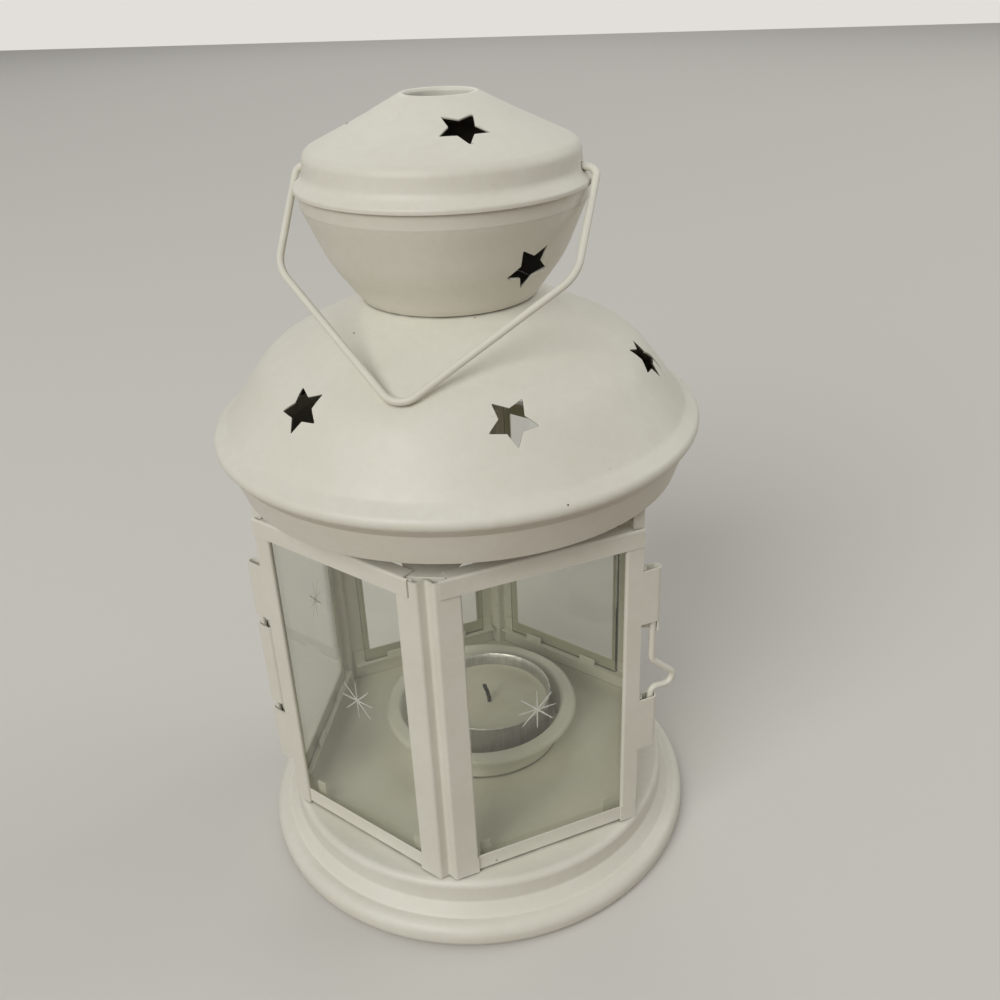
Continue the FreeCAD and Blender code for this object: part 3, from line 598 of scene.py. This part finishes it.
for side_name in SIDES:
    if side_name.startswith("door"):
        node_name = "door_pane_" + side_name.removeprefix("door_")
        engraved_pane(node_name, side_name, "door", DOOR_SPARK_ALONG)
    else:
        engraved_pane("pane_" + side_name, side_name, "cage", FIXED_SPARK_ALONG)


# Tealight: thin drawn cup, wax with a meniscus, and a burnt braided wick. Sizes here are in
# millimetres, and an outline is a row of pairs of radius and height.

def arc(centre_r, centre_z, radius, degrees):
    """Outline points on an arc, at a row of angles."""
    turns = [math.radians(angle) for angle in degrees]
    return [(centre_r + radius * math.cos(turn), centre_z + radius * math.sin(turn))
            for turn in turns]


def turned(name, outline, segments, material, wobble):
    """Closed body turned about the tealight's axis, with a wobble of its points."""
    points, rows = [], []
    for radius, height in outline:
        radius, height = radius * MM, height * MM
        if radius == 0:
            rows.append([len(points)])
            points.append(TEALIGHT + UP * height)
            continue
        row = []
        for k in range(segments):
            angle = 2 * math.pi * k / segments
            spot = Vector((math.cos(angle) * radius, math.sin(angle) * radius, height))
            row.append(len(points))
            points.append(TEALIGHT + wobble(spot, angle))
        rows.append(row)
    made = mesh_object(name, points, bands(rows), material)
    made.data.shade_smooth()
    return made


CUP_WALL_R = 18.9
CUP_FOOT_Z = 17.6
CUP_TOP_Z = 32.9
CUP_SHEET = 0.22
CUP_CORNER_R = 1.5
CUP_CORNER_STEPS = 8
CUP_FOOT_RADII = (8.0, 14.0, 16.4)
CUP_WALL_SHARES = (0.15, 0.3, 0.45, 0.6, 0.75, 0.9, 1.0)
CUP_BEAD_R = 0.25
CUP_BEAD_OUT = 0.24
CUP_BEAD_DROP = 0.26
CUP_BEAD_ANGLES = range(-120, 181, 30)
CUP_UNDER_BEAD = 0.85
CUP_INNER_DROP = 0.45
CUP_SEGMENTS = 232

# Relief of the cup's wall: fine flutes and soft dents, between two heights over the foot
CUP_FLUTES = 58
CUP_FLUTE = 0.022
CUP_FLUTE_BEAT = 0.008
CUP_FLUTE_BEAT_TURN = 1.1
CUP_DRAWN_IN = 0.05
CUP_DENT = 0.10
CUP_DENTS_ROUND = 2.2
CUP_DENTS_UP = 0.09
CUP_RELIEF_LOW = 0.8
CUP_RELIEF_GROWS = 3.0
CUP_RELIEF_HIGH = 14.6
CUP_RELIEF_FADES = 1.0


def cup_outline():
    """Foot, wall and an outward rolled lip, then back down inside."""
    corner_r = CUP_WALL_R - CUP_CORNER_R
    corner_z = CUP_FOOT_Z + CUP_CORNER_R
    inner_r = CUP_WALL_R - CUP_SHEET
    upright = CUP_TOP_Z - CUP_UNDER_BEAD - CUP_FOOT_Z - CUP_CORNER_R
    bend = [-90 + step * 90 / CUP_CORNER_STEPS for step in range(1, CUP_CORNER_STEPS + 1)]
    outline = [(0, CUP_FOOT_Z)] + [(radius, CUP_FOOT_Z) for radius in CUP_FOOT_RADII]
    outline += arc(corner_r, corner_z, CUP_CORNER_R, bend)
    outline += [(CUP_WALL_R, corner_z + share * upright) for share in CUP_WALL_SHARES]
    outline += arc(CUP_WALL_R + CUP_BEAD_OUT, CUP_TOP_Z - CUP_BEAD_DROP, CUP_BEAD_R,
                   CUP_BEAD_ANGLES)
    outline.append((inner_r, CUP_TOP_Z - CUP_INNER_DROP))
    outline += [(inner_r, corner_z + share * upright) for share in CUP_WALL_SHARES[-2::-1]]
    outline.append((inner_r, corner_z))
    outline += arc(corner_r, corner_z, CUP_CORNER_R - CUP_SHEET, bend[-2::-1])
    outline += [(radius, CUP_FOOT_Z + CUP_SHEET)
                for radius in (CUP_FOOT_RADII[-1], CUP_FOOT_RADII[0], 0)]
    return outline


def clamped(share):
    return min(1.0, max(0.0, share))


def cup_wobble(spot, angle):
    """Fine flutes left by drawing, and a few soft dents, only in the upright wall."""
    height = spot.z / MM - CUP_FOOT_Z
    share = (clamped((height - CUP_RELIEF_LOW) / CUP_RELIEF_GROWS)
             * clamped((CUP_RELIEF_HIGH - height) / CUP_RELIEF_FADES))
    radial = Vector((spot.x, spot.y, 0.0)).normalized()
    flute = (math.sin(CUP_FLUTES * angle) * CUP_FLUTE
             + math.sin(CUP_FLUTES * angle * 0.5 + CUP_FLUTE_BEAT_TURN) * CUP_FLUTE_BEAT)
    dent = noise.noise(Vector((math.cos(angle) * CUP_DENTS_ROUND,
                               math.sin(angle) * CUP_DENTS_ROUND, height * CUP_DENTS_UP)))
    out = flute * share - CUP_DRAWN_IN * share - CUP_DENT * abs(dent) * share
    return spot + radial * (out * MM)


cup = turned("drawn_foil_cup", cup_outline(), CUP_SEGMENTS, tin_foil, cup_wobble)
take_place(cup, "tealight_cup", "tealight")


WAX_TOP_Z = 28.2
WAX_SEGMENTS = 160
WAX_UNDER = ((0, 17.95), (12.0, 17.95), (16.8, 18.3), (18.1, 19.4), (18.5, 21.0), (18.5, 24.5))

# Radius, and height over the wax's top
WAX_MENISCUS = ((18.5, 0.50), (18.36, 0.52), (18.15, 0.36), (17.9, 0.20), (17.5, 0.09),
                (16.9, 0.02))
WAX_TOP_RADII = (15.5, 13.5, 11.5, 9.5, 7.5, 6.0, 4.8, 3.8, 3.0, 2.3, 1.7, 1.2, 0.8)
WAX_HOLLOW_R = 13.5
WAX_HOLLOW = 0.30
WAX_WICK_R = 0.5
WAX_WICK_DROP = 0.05
WICK_CLIMB = 0.22
WICK_CLIMB_R = 1.1

# Relief of the wax's top: a slow swell and faint rings, calm near the wick
WAX_SKIN = 1.0
WAX_SWELL = 0.10
WAX_SWELL_SCALE = 140.0
WAX_RING = 0.018
WAX_RING_TURN = 1.9
WAX_RING_STRAY = 2
WAX_RING_SCALE = 60.0
WAX_RING_PLACE = 0.3
WAX_CALM_R = 3.0


def wax_outline():
    """From the foot up the wall, over the meniscus, across the burnt-in hollow and up the
    wick a little."""
    outline = list(WAX_UNDER)
    outline += [(radius, WAX_TOP_Z + over) for radius, over in WAX_MENISCUS]
    for radius in WAX_TOP_RADII:
        hollow = (WAX_HOLLOW * (1 - min(1.0, radius / WAX_HOLLOW_R) ** 2)
                  - WICK_CLIMB * math.exp(-radius / WICK_CLIMB_R))
        outline.append((radius, WAX_TOP_Z - hollow))
    outline += [(WAX_WICK_R, WAX_TOP_Z - WAX_WICK_DROP), (0, WAX_TOP_Z - WAX_WICK_DROP)]
    return outline


def wax_wobble(spot, _angle):
    """Slow swell of wax that set unevenly."""
    if spot.z < (WAX_TOP_Z - WAX_SKIN) * MM:
        return spot
    radius = Vector((spot.x, spot.y)).length / MM
    swell = noise.noise(Vector((spot.x, spot.y, 0.0)) * WAX_SWELL_SCALE) * WAX_SWELL
    stray = noise.noise(Vector((spot.x, spot.y, WAX_RING_PLACE)) * WAX_RING_SCALE)
    ring = math.sin(radius * WAX_RING_TURN + WAX_RING_STRAY * stray) * WAX_RING
    keep = min(1.0, radius / WAX_CALM_R)
    return spot + UP * ((swell + ring) * keep * MM)


wax_body = turned("cream_wax_fill", wax_outline(), WAX_SEGMENTS, wax, wax_wobble)
take_place(wax_body, "tealight_wax", "tealight")


WICK_FOOT_Z = 18.3
WICK_TIP_Z = 34.55
WICK_LENGTH = 16.3
WICK_STEPS = 60
WICK_SEGMENTS = 24
WICK_R = 0.60
WICK_TIP_ROUND = 0.5
WICK_TIP_SHARE = 0.25
WICK_BEND_Z = WAX_TOP_Z + 0.8
WICK_BEND_RUN = 5.6
WICK_LEAN = -1.62
WICK_LEAN_POWER = 1.7
WICK_SIDE = 0.25

# Relief of the wick: three lobes twisted one way, six finer ones the other way, and crumbs.
# A twist is the radians that the lobes' wave gains per millimetre.
WICK_LOBE_SHARE = 0.11
WICK_LOBE_TWIST = 2.9
WICK_STRAND_SHARE = 0.05
WICK_STRAND_TWIST = 5
WICK_CRUMB_SHARE = 0.10
WICK_CRUMB_ROUND = 1.3
WICK_CRUMB_ALONG = 1.4
WICK_CRUMB_PLACE = 4.0


def wick_line():
    """Middle line, upright to just over the wax and then bent to one side."""
    line = []
    for step in range(WICK_STEPS + 1):
        height = WICK_FOOT_Z + step / WICK_STEPS * (WICK_TIP_Z - WICK_FOOT_Z)
        over = max(0.0, height - WICK_BEND_Z) / WICK_BEND_RUN
        line.append(Vector((WICK_LEAN * over ** WICK_LEAN_POWER, WICK_SIDE * over ** 2,
                            height)) * MM)
    return line


def braided_wick():
    """Tube with three twisted lobes along a bent line, closed by a crumbled round tip."""
    line = wick_line()
    points, rows = [], []
    run = 0.0
    for index, centre in enumerate(line):
        ahead = line[min(index + 1, WICK_STEPS)] - line[max(index - 1, 0)]
        ahead.normalize()
        across = ahead.cross(Vector((0.0, 1.0, 0.0))).normalized()
        third = ahead.cross(across).normalized()
        if index:
            run += (centre - line[index - 1]).length / MM
        left = (WICK_STEPS - index) / WICK_STEPS * WICK_LENGTH
        close = math.sqrt(1 - (1 - min(1.0, left / WICK_TIP_ROUND)) ** 2)
        row = []
        for k in range(WICK_SEGMENTS):
            angle = 2 * math.pi * k / WICK_SEGMENTS
            lobe = (1 + WICK_LOBE_SHARE * math.cos(3 * angle + run * WICK_LOBE_TWIST)
                    + WICK_STRAND_SHARE * math.cos(6 * angle - run * WICK_STRAND_TWIST))
            spot = Vector((angle * WICK_CRUMB_ROUND, run * WICK_CRUMB_ALONG, WICK_CRUMB_PLACE))
            crumb = 1 + WICK_CRUMB_SHARE * noise.noise(spot)
            radius = WICK_R * lobe * crumb * max(close, WICK_TIP_SHARE) * MM
            row.append(len(points))
            points.append(TEALIGHT + centre + (across * math.cos(angle)
                                               + third * math.sin(angle)) * radius)
        rows.append(row)
    faces = bands(rows) + [tuple(rows[0]), tuple(rows[-1])]
    made = mesh_object("burnt_braided_wick", points, faces, wick)
    made.data.shade_smooth()
    return made


take_place(braided_wick(), "tealight_wick", "tealight")


# Stage, lamps and camera

FLOOR_SIZE = 6.0
FLOOR_Z = -0.2 * MM


def floor_finish():
    """Pale floor. Rays that only fetch light from it find it darker and warmer."""
    f = new_finish("pale_floor")
    shown = f.add("BsdfDiffuse", {"Color": FLOOR_SEEN})
    bounce = f.add("BsdfDiffuse", {"Color": FLOOR_BOUNCE})
    return f.surface(f.mix_shader(f.seen(), bounce, shown))


def lay_floor():
    half = FLOOR_SIZE / 2
    mesh = bpy.data.meshes.new("floor")
    mesh.from_pydata([(-half, -half, FLOOR_Z), (half, -half, FLOOR_Z), (half, half, FLOOR_Z),
                      (-half, half, FLOOR_Z)], [], [(0, 1, 2, 3)])
    floor = bpy.data.objects.new("floor", mesh)
    bpy.context.scene.collection.objects.link(floor)
    mesh.materials.append(floor_finish())


def studio():
    """Even light from all round. Rays that show it see a pale backdrop instead."""
    f = Finish(bpy.data.worlds.new("studio"), "OutputWorld")
    ambient = f.add("Background", {"Color": AMBIENT, "Strength": AMBIENT_STRENGTH})
    shown = f.add("Background", {"Color": BACKDROP, "Strength": 1.0})
    return f.surface(f.mix_shader(f.seen(), ambient, shown))


def lamp(name, place, aim_z, size, power, colour):
    """Round area lamp that faces a point on the lantern's axis. Metres and watts."""
    data = bpy.data.lights.new(name, "AREA")
    data.shape = "DISK"
    data.size = size
    data.energy = power
    data.color = colour
    made = bpy.data.objects.new(name, data)
    made.location = place
    ahead = Vector((0.0, 0.0, aim_z)) - Vector(place)
    made.rotation_euler = ahead.to_track_quat("-Z", "Y").to_euler()
    bpy.context.scene.collection.objects.link(made)


lay_floor()
bpy.context.scene.world = studio()

lamp("window", place=(-0.95, -2.25, 1.8), aim_z=0.10, size=2.0, power=50.5,
     colour=(1.0, 1.0, 0.985))
lamp("fill", place=(2.3, 1.1, 1.5), aim_z=0.08, size=2.2, power=18.0,
     colour=(1.0, 0.99, 0.97))
lamp("back", place=(-0.6, 2.6, 2.0), aim_z=0.12, size=2.2, power=11.5,
     colour=(1.0, 1.0, 0.99))


# Camera of the reference view. Its picture is square, and its focal length and shift are
# given in the picture's pixels.

PICTURE_PIXELS = 1000.0
FOCAL_PIXELS = 1045.0
SHIFT_PIXELS = (-6.1, 6.2)
SENSOR_MM = 36.0
CLIP_START = 0.01
CAMERA_PLACE = Vector((46.290 * MM, -253.212 * MM, 240.614 * MM))

# Degrees: turned left from +Y, up from straight down, and about the line of sight
CAMERA_TURN = 7.72
CAMERA_RISE = 61.61
CAMERA_ROLL = -2.22

camera_data = bpy.data.cameras.new("camera")
camera_data.sensor_width = SENSOR_MM
camera_data.lens = FOCAL_PIXELS * SENSOR_MM / PICTURE_PIXELS
camera_data.shift_x = SHIFT_PIXELS[0] / PICTURE_PIXELS
camera_data.shift_y = SHIFT_PIXELS[1] / PICTURE_PIXELS
camera_data.clip_start = CLIP_START
camera = bpy.data.objects.new("camera", camera_data)
bpy.context.scene.collection.objects.link(camera)
bpy.context.scene.camera = camera
camera.matrix_world = (Matrix.Translation(CAMERA_PLACE)
                       @ Matrix.Rotation(math.radians(CAMERA_TURN), 4, "Z")
                       @ Matrix.Rotation(math.radians(CAMERA_RISE), 4, "X")
                       @ Matrix.Rotation(math.radians(CAMERA_ROLL), 4, "Z"))

bpy.context.scene.view_settings.view_transform = "Standard"
